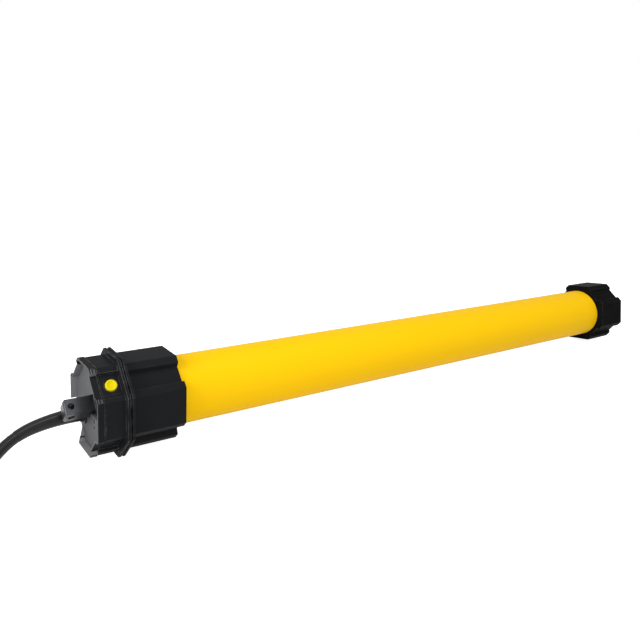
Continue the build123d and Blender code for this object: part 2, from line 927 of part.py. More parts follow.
# Ring gear housing of the three planetary stages
with BuildPart() as ring_gear_housing:
    extrude(disc(gearbox_start, insert_radius), amount=ring_end - gearbox_start)
    extrude(
        toothed(
            gearbox_start,
            ring_teeth,
            ring_pitch - addendum,
            ring_pitch + dedendum,
            space_root_share,
            space_tip_share,
        ),
        amount=ring_end - gearbox_start,
        mode=Mode.SUBTRACT,
    )
save(ring_gear_housing, "ring_gear_housing")

# Rotor shaft with its stub for the first sun gear
pinion_start = first_planets - pinion_lead
pinion_end = first_planets + first_face
with BuildPart() as rotor_shaft:
    extrude(disc(rear_seat - shaft_tail, shaft_radius), amount=pinion_start - rear_seat + shaft_tail)
    extrude(disc(pinion_start, pinion_bore), amount=pinion_end - pinion_start)
save(rotor_shaft, "rotor_shaft")
with BuildPart() as first_sun_gear:
    extrude(outside_gear(pinion_start, sun_teeth), amount=pinion_end - pinion_start)
    extrude(disc(pinion_start, pinion_bore), amount=pinion_end - pinion_start, mode=Mode.SUBTRACT)
save(first_sun_gear, "first_sun_gear")


def planet_angles():
    """The directions of the planets round the axis, in degrees."""
    return [number * 360.0 / planet_count for number in range(planet_count)]


def make_carrier(planets_start, face, plate_start, plate):
    """A carrier: a plate with one pin for each planet."""
    pin_start = planets_start - planet_side_gap
    with BuildPart() as carrier:
        extrude(disc(plate_start, carrier_radius), amount=plate)
        for turn in planet_angles():
            place = math.radians(turn)
            across, up = centre_distance * math.cos(place), centre_distance * math.sin(place)
            extrude(
                spot(station(pin_start), planet_pin_radius, across, up),
                amount=plate_start - pin_start,
            )
    return carrier


def make_planets(stage, planets_start, face):
    """The planets of one stage, each written as its own piece."""
    for number, turn in enumerate(planet_angles(), 1):
        place = math.radians(turn)
        centre = (centre_distance * math.cos(place), centre_distance * math.sin(place))
        phase = turn * (1 - ring_teeth / planet_teeth)
        with BuildPart() as planet:
            extrude(outside_gear(planets_start, planet_teeth, phase, centre), amount=face)
            extrude(
                spot(station(planets_start), planet_bore, *centre),
                amount=face,
                mode=Mode.SUBTRACT,
            )
        save(planet, f"{stage}_planet_{number}")


make_planets("first", first_planets, first_face)
make_planets("second", second_planets, second_face)
make_planets("third", third_planets, third_face)
first_carrier = make_carrier(first_planets, first_face, first_plate, first_carrier_plate)
save(first_carrier, "first_carrier")
second_carrier = make_carrier(second_planets, second_face, second_plate, second_carrier_plate)
save(second_carrier, "second_carrier")
for name, sun_start, sun_end in (
    ("second_sun_gear", first_plate + first_carrier_plate, second_planets + second_face),
    ("third_sun_gear", second_plate + second_carrier_plate, third_planets + third_face),
):
    with BuildPart() as sun:
        extrude(outside_gear(sun_start, sun_teeth), amount=sun_end - sun_start)
    save(sun, name)

# Output: third carrier, shaft with a square end, thrust washer, bushing and cover
shaft_end = wheel_end - wheel_hub_inset
square_start = tube_end + running_clearance
third_carrier = make_carrier(third_planets, third_face, third_plate, third_carrier_plate)
save(third_carrier, "third_carrier")
with BuildPart() as output_shaft:
    extrude(disc(output_start, output_radius), amount=square_start - output_start)
    extrude(
        square(square_start, output_square, wheel_turn, output_square_chamfer),
        amount=shaft_end - square_start,
    )
    extrude(
        disc(shaft_end - screw_length, screw_radius),
        amount=screw_length,
        mode=Mode.SUBTRACT,
    )
save(output_shaft, "output_shaft")
with BuildPart() as thrust_washer:
    extrude(
        disc(output_start + loose_clearance / 2, carrier_radius, output_radius + running_clearance),
        amount=thrust_washer_thickness,
    )
save(thrust_washer, "thrust_washer")
bushing_outer = output_radius + bushing_wall
with BuildPart() as output_bushing:
    extrude(
        disc(ring_end, bushing_outer, output_radius + running_clearance),
        amount=tube_end - ring_end,
    )
save(output_bushing, "output_bushing")
with BuildPart() as gearbox_cover:
    extrude(disc(ring_end, insert_radius, bushing_outer), amount=tube_end - ring_end)
    extrude(
        disc(ring_end + cover_wall, insert_radius - cover_wall, bushing_outer + cover_wall),
        amount=tube_end - ring_end - 2 * cover_wall,
        mode=Mode.SUBTRACT,
    )
save(gearbox_cover, "gearbox_cover")

# Drive wheel: a notched octagonal shell with a hub, ribs and a square bore
wheel_inside = profile_flats / 2 - wheel_wall
with BuildPart() as drive_wheel:
    extrude(octagon(wheel_start, profile_flats, 0), amount=wheel_length)
    chamfer(drive_wheel.faces().sort_by(Axis.X)[-1].edges(), wheel_lead_in)
    extrude(
        notches(wheel_start, profile_flats, wheel_notch_depth),
        amount=wheel_length,
        mode=Mode.SUBTRACT,
    )
    with BuildSketch(station(wheel_start + wheel_plate)):
        RegularPolygon(wheel_inside, 8, major_radius=False, rotation=22.5)
        with PolarLocations(0, 4, start_angle=45):
            Polygon(
                (wheel_inside - wheel_notch_depth, -pad_notch_open / 2),
                (wheel_inside + overrun, -pad_notch_open / 2 - wheel_wall),
                (wheel_inside + overrun, pad_notch_open / 2 + wheel_wall),
                (wheel_inside - wheel_notch_depth, pad_notch_open / 2),
                align=None,
                mode=Mode.SUBTRACT,
            )
        Circle(wheel_hub_radius, mode=Mode.SUBTRACT)
        with PolarLocations(0, 4, start_angle=0):
            with Locations((profile_flats / 4, 0)):
                Rectangle(profile_flats / 2, wheel_rib, mode=Mode.SUBTRACT)
        with PolarLocations(0, 4, start_angle=45):
            with Locations((profile_flats / 4, 0)):
                Rectangle(profile_flats / 2, wheel_rib, mode=Mode.SUBTRACT)
    extrude(amount=wheel_length, mode=Mode.SUBTRACT)
    extrude(
        disc(shaft_end, wheel_inside - wheel_notch_depth),
        amount=wheel_length,
        mode=Mode.SUBTRACT,
    )
    extrude(
        square(wheel_start, output_square + 2 * wheel_square_clearance, corner=output_square_chamfer),
        amount=wheel_length,
        mode=Mode.SUBTRACT,
    )
drive_wheel.part = drive_wheel.part.rotate(motor_axis, wheel_turn)
save(drive_wheel, "drive_wheel")
with BuildPart() as wheel_washer:
    extrude(disc(shaft_end, washer_radius, screw_radius), amount=washer_thickness)
save(wheel_washer, "wheel_washer")
with BuildPart() as wheel_screw:
    extrude(disc(shaft_end - screw_length, screw_radius), amount=screw_length + washer_thickness)
    extrude(disc(shaft_end + washer_thickness, screw_head_radius), amount=screw_head_height)
    with BuildSketch(station(shaft_end + washer_thickness + screw_head_height - screw_socket_depth)):
        RegularPolygon(screw_socket / 2, 6, major_radius=False)
    extrude(amount=screw_socket_depth, mode=Mode.SUBTRACT)
save(wheel_screw, "wheel_screw")

# Mains cord: a free stretch that leaves the gland and sinks to the surface
floor_height = cord_radius + floor_clearance
gland_face = cap_face - gland_flange_thickness - gland_nose
exit_height = axis_height - cord_exit_drop
free_route = [
    (gland_face - middle, cord_exit_back, exit_height),
    (-32 - middle, cord_exit_back, exit_height),
    (-57 - middle, 6, 18.6),
    (-78.4 - middle, -8.6, floor_height),
    (-101 - middle, -16.8, floor_height),
]


def arc_radii(points):
    """The radius at each inner corner, a share of the shorter run over the half turn's tangent."""
    radii = []
    for before, corner, after in zip(points, points[1:], points[2:]):
        run_in = Vector(*corner) - Vector(*before)
        run_out = Vector(*after) - Vector(*corner)
        half_turn = math.radians(run_in.get_angle(run_out)) / 2
        radii.append(bend_share * min(run_in.length, run_out.length) / math.tan(half_turn))
    return radii


cord_radii = arc_radii(free_route)
with BuildPart() as power_cable:
    with BuildLine() as cable_line:
        FilletPolyline(*free_route, radius=cord_radii)
    with BuildSketch(Plane(origin=free_route[0], z_dir=(-1, 0, 0))):
        Circle(cord_radius)
    sweep()
save(power_cable, "power_cable")
print("cord arc radii", [round(radius, 1) for radius in cord_radii])
cable_length = cable_line.wire().length
cable_volume = cable_length * math.pi * cord_radius**2
print("free stretch", round(cable_length, 1))
print("its volume share", round(power_cable.part.volume / cable_volume, 4))

# Coil: two flat spirals, in on the surface and out on top of it
coil_pitch = cord_diameter + coil_pitch_gap
coil_outer_radius = coil_middle_radius + (coil_layer_half_turns - 1) / 4 * coil_pitch
coil_start = Vector(*free_route[-1])
along_way = (coil_start - Vector(*free_route[-2])).normalized()
out_way = Vector(-along_way.Y, along_way.X, 0)
place = coil_start
sign = 1
reach = coil_outer_radius
steps = []
for number in range(coil_layer_half_turns - 1):
    end = place - out_way * (2 * sign * reach)
    steps.append((place, along_way * sign, end))
    place = end
    sign = -sign
    reach -= coil_pitch / 2
climb_start = place
climb_way = along_way * sign
climb_end = climb_start - out_way * (2 * sign * reach) + Vector(0, 0, coil_pitch)
climb_run = climb_way * ((climb_end - climb_start).length / 2)
climb_middle = (climb_start + climb_end) / 2 + climb_run
climb_tangent = climb_end - climb_start
place = climb_end
sign = -sign
out_steps = []
for number in range(coil_layer_half_turns - 1):
    reach += coil_pitch / 2
    end = place - out_way * (2 * sign * reach)
    out_steps.append((place, along_way * sign, end))
    place = end
    sign = -sign
with BuildPart() as cable_coil:
    with BuildLine() as coil_line:
        for start, way, end in steps:
            TangentArc(start, end, tangent=way)
        TangentArc(climb_start, climb_middle, tangent=climb_way)
        TangentArc(climb_middle, climb_end, tangent=climb_tangent)
        for start, way, end in out_steps:
            TangentArc(start, end, tangent=way)
    with BuildSketch(Plane(origin=coil_start, z_dir=along_way)):
        Circle(cord_radius)
    sweep()
save(cable_coil, "cable_coil")
coil_length = coil_line.wire().length
coil_volume = coil_length * math.pi * cord_radius**2
print("coil", round(coil_length, 1), "volume share", round(cable_coil.part.volume / coil_volume, 4))


def least_gap(line, count=1200):
    """The least gap between stretches of the coil that aren't neighbours along it."""
    spots = [line.position_at(number / count) for number in range(count + 1)]
    spacing = line.length / count
    skip = int(3 * cord_diameter / spacing)
    least = line.length
    for first, one in enumerate(spots):
        for other in spots[first + skip :]:
            if abs(one.X - other.X) < least and abs(one.Y - other.Y) < least:
                least = min(least, (one - other).length)
    return least - cord_diameter


print("least gap of the coil to itself", round(least_gap(coil_line.wire()), 3))

# Stripped cord end: four cores with their ferrules
tail = Plane(origin=place, x_dir=out_way, z_dir=along_way * sign)
with BuildPart() as cable_cores:
    with BuildSketch(tail):
        with PolarLocations(core_spread, core_count):
            Circle(core_radius)
    extrude(amount=core_length)
    with BuildSketch(tail.offset(core_length - ferrule_length)):
        with PolarLocations(core_spread, core_count):
            Circle(ferrule_radius)
    extrude(amount=ferrule_length)
save(cable_cores, "cable_cores")
print("whole cord", round(cable_length + coil_length + core_length, 1))
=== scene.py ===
"""Looks of a tubular roller blind motor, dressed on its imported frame.

Lengths are in metres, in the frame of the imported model: X runs along the motor from
its square pin to its drive wheel, Z is up, and the origin is on the surface under
the motor's middle.
"""

import math

import bmesh
import bpy
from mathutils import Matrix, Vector


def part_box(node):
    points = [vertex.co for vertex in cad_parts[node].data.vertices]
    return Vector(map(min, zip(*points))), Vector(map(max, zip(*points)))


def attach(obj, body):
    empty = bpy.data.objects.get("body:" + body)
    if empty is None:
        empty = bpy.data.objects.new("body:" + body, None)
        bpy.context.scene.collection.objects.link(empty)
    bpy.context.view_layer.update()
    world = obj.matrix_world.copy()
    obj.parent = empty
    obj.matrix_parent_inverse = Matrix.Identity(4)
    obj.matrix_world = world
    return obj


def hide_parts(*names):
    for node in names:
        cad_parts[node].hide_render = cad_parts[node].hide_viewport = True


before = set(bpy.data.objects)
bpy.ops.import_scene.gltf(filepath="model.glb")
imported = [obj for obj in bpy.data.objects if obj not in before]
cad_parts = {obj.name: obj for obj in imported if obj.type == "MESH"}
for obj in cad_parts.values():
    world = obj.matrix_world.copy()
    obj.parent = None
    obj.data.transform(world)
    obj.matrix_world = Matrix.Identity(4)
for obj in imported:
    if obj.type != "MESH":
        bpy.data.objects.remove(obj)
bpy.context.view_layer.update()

bl_info = {
    "name": "Roller Blind Motor Looks",
    "version": (1, 0, 0),
    "blender": (4, 5, 0),
    "location": "View3D > Sidebar > Blind Motor",
    "description": "Camera, light, cord and finishes of a tubular roller blind motor",
    "category": "Object",
}

MM = 0.001
TUBE_LOW, TUBE_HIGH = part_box("motor_tube")
AXIS_HEIGHT = (TUBE_LOW.z + TUBE_HIGH.z) / 2

FLOOR_SIZE = 12.0
LAMP_TARGET = Vector((-0.1, 0, AXIS_HEIGHT))
# For each lamp's power in the stage's looks: its name, its place, and how wide and deep it is.
LAMPS = {
    "key_power": ("Overhead lamp", (0.0, -0.2, 1.0), (0.6, 0.35)),
    "side_power": ("Side lamp", (-1.1, -0.1, 0.45), (0.7, 0.7)),
    "front_power": ("Front lamp", (-0.45, -1.2, 0.7), (0.45, 0.3)),
}

# The refractive index of plastic, paint and rubber, and how much each of them shines.
POLYMER_INDEX = 1.5
PLASTIC_GLOSS = 0.008
WHEEL_GLOSS = 0.003
COAT_GLOSS = 0.03
SHEATH_GLOSS = 0.2

# The size of the moulds' grain, how much lighter an edge is painted, as wear and as a painted highlight,
# and how wide that is.
MOULD_GRAIN = 0.35 * MM
EDGE_WEAR_AND_HIGHLIGHT = 0.26
EDGE_HIGHLIGHT_WIDTH = 0.35 * MM

# How edges are rounded, and from what angle on. Before that, split corners and flat faces are joined.
EDGE_SEGMENTS = 3
PIN_ROUND = 0.5 * MM
BUTTON_ROUND = 0.3 * MM
SHARP_ANGLE = math.radians(30)
FLAT_ANGLE = math.radians(0.5)
WELD_DISTANCE = 0.001 * MM

# The cord's route from the gland to its coil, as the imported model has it.
FREE_ROUTE = [
    (-264.8 * MM, 11 * MM, 22.9 * MM),
    (-281 * MM, 11 * MM, 22.9 * MM),
    (-306 * MM, 6 * MM, 18.6 * MM),
    (-327.4 * MM, -8.6 * MM, 3.5 * MM),
    (-350 * MM, -16.8 * MM, 3.5 * MM),
]
POINTS_PER_HALF_TURN = 8
# How finely curves are drawn, round and along, and how finely the cord's line is read.
CURVE_STEPS = 6
LINE_STEPS = 8

CORE_COLOURS = {
    "earth_core": (0.12, 0.42, 0.05),
    "neutral_core": (0.02, 0.1, 0.5),
    "up_core": (0.012, 0.012, 0.012),
    "down_core": (0.16, 0.06, 0.02),
}
# How deep a core starts in the sheath, how far it runs straight, at what share of its reach it
# bends, and how far it is from the cord's middle before and after that.
CORE_INSET = 2 * MM
CORE_STRAIGHT = 4 * MM
CORE_BEND_SHARE = 0.6
CORE_OFFSET_INSIDE = 1.6 * MM
CORE_OFFSET_SPREAD = 2.6 * MM
FERRULE_ROOM = 9 * MM
FERRULE_RADIUS = 0.85 * MM
COLLAR_WALL = 0.3 * MM
FERRULE_SEGMENTS = 32


class StageLook(bpy.types.PropertyGroup):
    """The camera, the lamps, the sky and the floor."""

    camera_place: bpy.props.FloatVectorProperty(
        name="Camera place",
        description="Where the camera stands",
        default=(-0.373175, -0.385421, 0.195056),
        subtype="TRANSLATION",
        unit="LENGTH",
    )
    camera_turn: bpy.props.FloatVectorProperty(
        name="Camera turn",
        description="How the camera is turned about X, Y and Z",
        default=tuple(math.radians(angle) for angle in (79.6725, -2.4724, -35.4621)),
        subtype="EULER",
        unit="ROTATION",
    )
    lens: bpy.props.FloatProperty(
        name="Lens", description="Focal length in millimetres", default=37.114, unit="CAMERA"
    )
    frame_shift: bpy.props.FloatProperty(
        name="Frame shift", description="Shift of the frame as a share of its width", default=-0.0905
    )
    sky_strength: bpy.props.FloatProperty(
        name="Sky strength", description="Light from the room all round", default=0.4
    )
    key_power: bpy.props.FloatProperty(
        name="Key power", description="Power of the lamp overhead", default=3.1, unit="POWER"
    )
    side_power: bpy.props.FloatProperty(
        name="Side power", description="Power of the lamp at the pin's side", default=8.5, unit="POWER"
    )
    front_power: bpy.props.FloatProperty(
        name="Front power", description="Power of the lamp by the camera", default=6.2, unit="POWER"
    )
    floor_colour: bpy.props.FloatVectorProperty(
        name="Floor colour",
        description="Colour of the paper floor",
        default=(0.75, 0.75, 0.75),
        subtype="COLOR",
    )
    floor_glow: bpy.props.FloatProperty(
        name="Floor glow",
        description="White added to the floor as the camera and mirrors see it",
        default=0.9,
    )


class CordLook(bpy.types.PropertyGroup):
    """The mains cord, its coil and its cores."""

    diameter: bpy.props.FloatProperty(
        name="Diameter", description="Outside of the sheath", default=6.8 * MM, unit="LENGTH"
    )
    turn_gap: bpy.props.FloatProperty(
        name="Turn gap", description="Gap between turns of the coil", default=0.6 * MM, unit="LENGTH"
    )
    coil_radius: bpy.props.FloatProperty(
        name="Coil radius", description="Radius at the middle of the turns", default=34 * MM, unit="LENGTH"
    )
    layer_half_turns: bpy.props.IntProperty(
        name="Half turns", description="Half turns in each of the coil's two layers", default=9
    )
    sleeve_root: bpy.props.FloatProperty(
        name="Sleeve at the gland",
        description="Radius of the bend sleeve at the gland",
        default=4.7 * MM,
        unit="LENGTH",
    )
    sleeve_end: bpy.props.FloatProperty(
        name="Sleeve at its end",
        description="Radius of the bend sleeve at its thin end",
        default=3.6 * MM,
        unit="LENGTH",
    )
    sleeve_steps: bpy.props.IntProperty(
        name="Sleeve steps",
        description="Steps along the cord's line that the bend sleeve covers",
        default=11,
    )
    core_length: bpy.props.FloatProperty(
        name="Core length", description="Length of the stripped cores", default=20 * MM, unit="LENGTH"
    )
    core_radius: bpy.props.FloatProperty(
        name="Core radius", description="Radius of a core's insulation", default=1.1 * MM, unit="LENGTH"
    )
    sheath_colour: bpy.props.FloatVectorProperty(
        name="Sheath colour",
        description="Colour of the sheath",
        default=(0.004, 0.004, 0.0045),
        subtype="COLOR",
    )


class PlasticLook(bpy.types.PropertyGroup):
    """The moulded plastic of head, crown and wheel."""

    body_colour: bpy.props.FloatVectorProperty(
        name="Body colour",
        description="Head and crown",
        default=(0.0105, 0.011, 0.012),
        subtype="COLOR",
    )
    wheel_colour: bpy.props.FloatVectorProperty(
        name="Wheel colour",
        description="Drive wheel",
        default=(0.004, 0.004, 0.0042),
        subtype="COLOR",
    )
    # Painted light: the end cap's face is the body's plastic, painted paler as if lit strongly from the
    # pin's side.
    cap_face_painted_light: bpy.props.FloatVectorProperty(
        name="Cap face painted light",
        description="Face of the end cap",
        default=(0.105, 0.106, 0.11),
        subtype="COLOR",
    )
    # Painted light: the walls round the sunk face are painted paler still, to lift the shade that falls in
    # the recess.
    wall_painted_light: bpy.props.FloatVectorProperty(
        name="Wall painted light",
        description="Walls round the sunk face",
        default=(0.24, 0.24, 0.25),
        subtype="COLOR",
    )
    edge_round: bpy.props.FloatProperty(
        name="Edge rounding", description="Rounding of the moulded edges", default=0.35 * MM, unit="LENGTH"
    )
    grain_size: bpy.props.FloatProperty(
        name="Grain size", description="Size of the mould's grain", default=MOULD_GRAIN, unit="LENGTH"
    )


class PaintLook(bpy.types.PropertyGroup):
    """The tube's powder coat and the button."""

    tube_colour: bpy.props.FloatVectorProperty(
        name="Tube colour",
        description="Powder coat of the tube",
        default=(0.97, 0.575, 0.004),
        subtype="COLOR",
    )
    button_colour: bpy.props.FloatVectorProperty(
        name="Button colour",
        description="Set button",
        default=(0.72, 0.59, 0.003),
        subtype="COLOR",
    )


class MetalLook(bpy.types.PropertyGroup):
    """The bare and coated metals."""

    pin_colour: bpy.props.FloatVectorProperty(
        name="Pin colour",
        description="Dark coat of the square pin",
        default=(0.045, 0.046, 0.05),
        subtype="COLOR",
    )
    steel_colour: bpy.props.FloatVectorProperty(
        name="Steel colour",
        description="Turned steel",
        default=(0.56, 0.57, 0.58),
        subtype="COLOR",
    )


LOOKS = {
    "motor_stage": StageLook,
    "motor_cord": CordLook,
    "motor_plastic": PlasticLook,
    "motor_paint": PaintLook,
    "motor_metal": MetalLook,
}


def add_node(tree, kind, values=None, **settings):
    """Adds a node, sets its options and the values of its inputs."""
    node = tree.nodes.new(kind)
    for option, value in settings.items():
        setattr(node, option, value)
    for socket, value in (values or {}).items():
        node.inputs[socket].default_value = value
    return node


def new_group(name, inputs, outputs):
    """Starts a shader node group with named inputs and outputs, and returns it with its two ends."""
    tree = bpy.data.node_groups.new(name, "ShaderNodeTree")
    for socket, default in inputs.items():
        made = tree.interface.new_socket(name=socket, in_out="INPUT", socket_type="NodeSocketFloat")
        made.default_value = default
    for socket, kind in outputs.items():
        tree.interface.new_socket(name=socket, in_out="OUTPUT", socket_type=kind)
    return tree, tree.nodes.new("NodeGroupInput"), tree.nodes.new("NodeGroupOutput")


def moulded_grain_group():
    """Fine mould grain as a height, and broad mottling as a mask."""
    tree, start, end = new_group(
        "Moulded grain",
        {"Grain scale": 2800.0, "Mottle scale": 60.0},
        {"Height": "NodeSocketFloat", "Mottle": "NodeSocketFloat"},
    )
    place = add_node(tree, "ShaderNodeTexCoord")
    grain = add_node(tree, "ShaderNodeTexNoise", {"Detail": 3.0, "Roughness": 0.6})
    mottle = add_node(tree, "ShaderNodeTexNoise", {"Detail": 4.0, "Roughness": 0.55})
    for texture, scale in ((grain, "Grain scale"), (mottle, "Mottle scale")):
        tree.links.new(place.outputs["Object"], texture.inputs["Vector"])
        tree.links.new(start.outputs[scale], texture.inputs["Scale"])
    tree.links.new(grain.outputs["Fac"], end.inputs["Height"])
    tree.links.new(mottle.outputs["Fac"], end.inputs["Mottle"])
    return tree


def edge_highlight_group():
    """A mask that is 1 on sharp edges and 0 on faces, broken up a little, for edge wear and a painted
    highlight.
    """
    tree, start, end = new_group(
        "Worn edges", {"Radius": 0.0004, "Break up": 400.0}, {"Mask": "NodeSocketFloat"}
    )
    soft = add_node(tree, "ShaderNodeBevel", samples=4)
    flat = add_node(tree, "ShaderNodeNewGeometry")
    match = add_node(tree, "ShaderNodeVectorMath", operation="DOT_PRODUCT")
    edge = add_node(
        tree,
        "ShaderNodeMapRange",
        {"From Min": 0.995, "From Max": 0.85, "To Min": 0.0, "To Max": 1.0},
    )
    place = add_node(tree, "ShaderNodeTexCoord")
    noise = add_node(tree, "ShaderNodeTexNoise", {"Detail": 2.0})
    spread = add_node(tree, "ShaderNodeMapRange", {"From Min": 0.35, "From Max": 0.65})
    both = add_node(tree, "ShaderNodeMath", operation="MULTIPLY")
    tree.links.new(start.outputs["Radius"], soft.inputs["Radius"])
    tree.links.new(soft.outputs["Normal"], match.inputs[0])
    tree.links.new(flat.outputs["Normal"], match.inputs[1])
    tree.links.new(match.outputs["Value"], edge.inputs["Value"])
    tree.links.new(place.outputs["Object"], noise.inputs["Vector"])
    tree.links.new(start.outputs["Break up"], noise.inputs["Scale"])
    tree.links.new(noise.outputs["Fac"], spread.inputs["Value"])
    tree.links.new(edge.outputs["Result"], both.inputs[0])
    tree.links.new(spread.outputs["Result"], both.inputs[1])
    tree.links.new(both.outputs["Value"], end.inputs["Mask"])
    return tree


def sunk_face_group():
    """Masks of a sunk end: all that faces out along the axis or inwards, and its side walls alone."""
    tree, start, end = new_group(
        "Sunk faces",
        {"Axis height": AXIS_HEIGHT},
        {"Inside": "NodeSocketFloat", "Walls": "NodeSocketFloat"},
    )
    place = add_node(tree, "ShaderNodeTexCoord")
    axis = add_node(tree, "ShaderNodeCombineXYZ")
    across = add_node(tree, "ShaderNodeVectorMath", operation="MULTIPLY")
    across.inputs[1].default_value = (0, 1, 1)
    away = add_node(tree, "ShaderNodeVectorMath", operation="SUBTRACT")
    facing = add_node(tree, "ShaderNodeVectorMath", operation="DOT_PRODUCT")
    tree.links.new(start.outputs["Axis height"], axis.inputs["Z"])
    tree.links.new(place.outputs["Object"], across.inputs[0])
    tree.links.new(across.outputs["Vector"], away.inputs[0])
    tree.links.new(axis.outputs["Vector"], away.inputs[1])
    tree.links.new(away.outputs["Vector"], facing.inputs[0])
    tree.links.new(place.outputs["Normal"], facing.inputs[1])
    for socket, low, high in (("Inside", 4 * MM, MM), ("Walls", -4 * MM, -12 * MM)):
        mask = add_node(tree, "ShaderNodeMapRange", {"From Min": low, "From Max": high})
        tree.links.new(facing.outputs["Value"], mask.inputs["Value"])
        tree.links.new(mask.outputs["Result"], end.inputs[socket])
    return tree


def drawn_line_group():
    """Lines left by turning or drawing, along X or round it, as a height and a shade."""
    tree, start, end = new_group(
        "Drawn lines",
        {"Along": 40.0, "Across": 3000.0},
        {"Height": "NodeSocketFloat", "Shade": "NodeSocketFloat"},
    )
    place = add_node(tree, "ShaderNodeTexCoord")
    stretch = add_node(tree, "ShaderNodeCombineXYZ")
    scaled = add_node(tree, "ShaderNodeVectorMath", operation="MULTIPLY")
    lines = add_node(tree, "ShaderNodeTexNoise", {"Scale": 1.0, "Detail": 3.0})
    shade = add_node(tree, "ShaderNodeMapRange", {"From Min": 0.3, "From Max": 0.7})
    tree.links.new(start.outputs["Along"], stretch.inputs["X"])
    for side in ("Y", "Z"):
        tree.links.new(start.outputs["Across"], stretch.inputs[side])
    tree.links.new(place.outputs["Object"], scaled.inputs[0])
    tree.links.new(stretch.outputs["Vector"], scaled.inputs[1])
    tree.links.new(scaled.outputs["Vector"], lines.inputs["Vector"])
    tree.links.new(lines.outputs["Fac"], end.inputs["Height"])
    tree.links.new(lines.outputs["Fac"], shade.inputs["Value"])
    tree.links.new(shade.outputs["Result"], end.inputs["Shade"])
    return tree


EFFECTS = {
    "Moulded grain": moulded_grain_group,
    "Worn edges": edge_highlight_group,
    "Drawn lines": drawn_line_group,
    "Sunk faces": sunk_face_group,
}
MADE_GROUPS = {}


def effect(tree, name, values):
    """Places a shared effect in a material's tree with its own values, and makes it the first time."""
    if name not in MADE_GROUPS:
        MADE_GROUPS[name] = EFFECTS[name]()
    node = tree.nodes.new("ShaderNodeGroup")
    node.node_tree = MADE_GROUPS[name]
    for socket, value in values.items():
        node.inputs[socket].default_value = value
    return node


def new_material(name, **sockets):
    """A material with its shader's constant sockets set."""
    material = bpy.data.materials.new(name)
    material.use_nodes = True
    shader = material.node_tree.nodes["Principled BSDF"]
    for socket, value in sockets.items():
        shader.inputs[socket.replace("_", " ")].default_value = value
    return material, material.node_tree, shader


def shade_between(tree, mask, dark, light, shader):
    """Sends a colour between two to the shader's base, by a mask."""
    mix = add_node(tree, "ShaderNodeMix", data_type="RGBA")
    mix.inputs["A"].default_value = (*dark, 1.0)
    mix.inputs["B"].default_value = (*light, 1.0)
    tree.links.new(mask, mix.inputs["Factor"])
    tree.links.new(mix.outputs["Result"], shader.inputs["Base Color"])
    return mix


def rough_between(tree, mask, low, high, shader):
    """Sends a roughness between two values to the shader, by a mask."""
    spread = add_node(tree, "ShaderNodeMapRange", {"To Min": low, "To Max": high})
    tree.links.new(mask, spread.inputs["Value"])
    tree.links.new(spread.outputs["Result"], shader.inputs["Roughness"])


def bump(tree, height, shader, distance, strength):
    """Sends a height to the shader's normal, with how deep it is and how much of it shows."""
    node = add_node(tree, "ShaderNodeBump", {"Distance": distance, "Strength": strength})
    tree.links.new(height, node.inputs["Height"])
    tree.links.new(node.outputs["Normal"], shader.inputs["Normal"])


def lifted(colour, share):
    """A colour moved towards white by a share."""
    return tuple(part + (1 - part) * share for part in colour)


def dimmed(colour, share):
    """A colour with only a share of its light."""
    return tuple(part * share for part in colour)


def seen_rays(tree):
    """A mask that is 1 for rays of the camera, and for those that mirrors and glass pass on."""
    rays = add_node(tree, "ShaderNodeLightPath")
    mirrors = add_node(tree, "ShaderNodeMath", operation="MAXIMUM")
    either = add_node(tree, "ShaderNodeMath", operation="MAXIMUM")
    tree.links.new(rays.outputs["Is Glossy Ray"], mirrors.inputs[0])
    tree.links.new(rays.outputs["Is Transmission Ray"], mirrors.inputs[1])
    tree.links.new(mirrors.outputs["Value"], either.inputs[0])
    tree.links.new(rays.outputs["Is Camera Ray"], either.inputs[1])
    return either.outputs["Value"]


def plastic_material(
    name, colour, roughness=(0.36, 0.46), edge_highlight=EDGE_WEAR_AND_HIGHLIGHT, grain=MOULD_GRAIN, gloss=PLASTIC_GLOSS
):
    """Moulded plastic: mottled colour, fine grain, and edges painted lighter, as wear and as a painted
    highlight.
    """
    material, tree, shader = new_material(name, IOR=POLYMER_INDEX, Specular_IOR_Level=gloss)
    grains = effect(tree, "Moulded grain", {"Grain scale": 1 / grain, "Mottle scale": 45.0})
    highlit_edges = effect(tree, "Worn edges", {"Radius": EDGE_HIGHLIGHT_WIDTH, "Break up": 150.0})
    pale = lifted(colour, share=0.006)
    base = shade_between(tree, grains.outputs["Mottle"], colour, pale, shader)
    # Sharp edges are painted lighter: partly wear, mostly a painted highlight where the rounded edges would
    # catch light.
    over = add_node(tree, "ShaderNodeMix", data_type="RGBA")
    over.inputs["B"].default_value = (*lifted(colour, edge_highlight), 1.0)
    tree.links.new(highlit_edges.outputs["Mask"], over.inputs["Factor"])
    tree.links.new(base.outputs["Result"], over.inputs["A"])
    tree.links.new(over.outputs["Result"], shader.inputs["Base Color"])
    rough_between(tree, grains.outputs["Mottle"], *roughness, shader)
    bump(tree, grains.outputs["Height"], shader, distance=0.03 * MM, strength=0.25)
    return material


def painted_light_sunk_material(name, colour, face_painted_light, wall_painted_light):
    """The moulded plastic with painted light: a paler face as if lit from the side, and paler walls where
    it is sunk, to lift their shade.
    """
    material = plastic_material(name, colour)
    tree = material.node_tree
    shader = tree.nodes["Principled BSDF"]
    under = shader.inputs["Base Color"].links[0].from_socket
    masks = effect(tree, "Sunk faces", {})
    # Painted light: paler colours on faces that look along the axis and on the inward walls, standing in
    # for how the light falls there.
    for mask, paint in (("Inside", face_painted_light), ("Walls", wall_painted_light)):
        over = add_node(tree, "ShaderNodeMix", data_type="RGBA")
        over.inputs["B"].default_value = (*paint, 1.0)
        tree.links.new(masks.outputs[mask], over.inputs["Factor"])
        tree.links.new(under, over.inputs["A"])
        under = over.outputs["Result"]
    tree.links.new(under, shader.inputs["Base Color"])
    return material


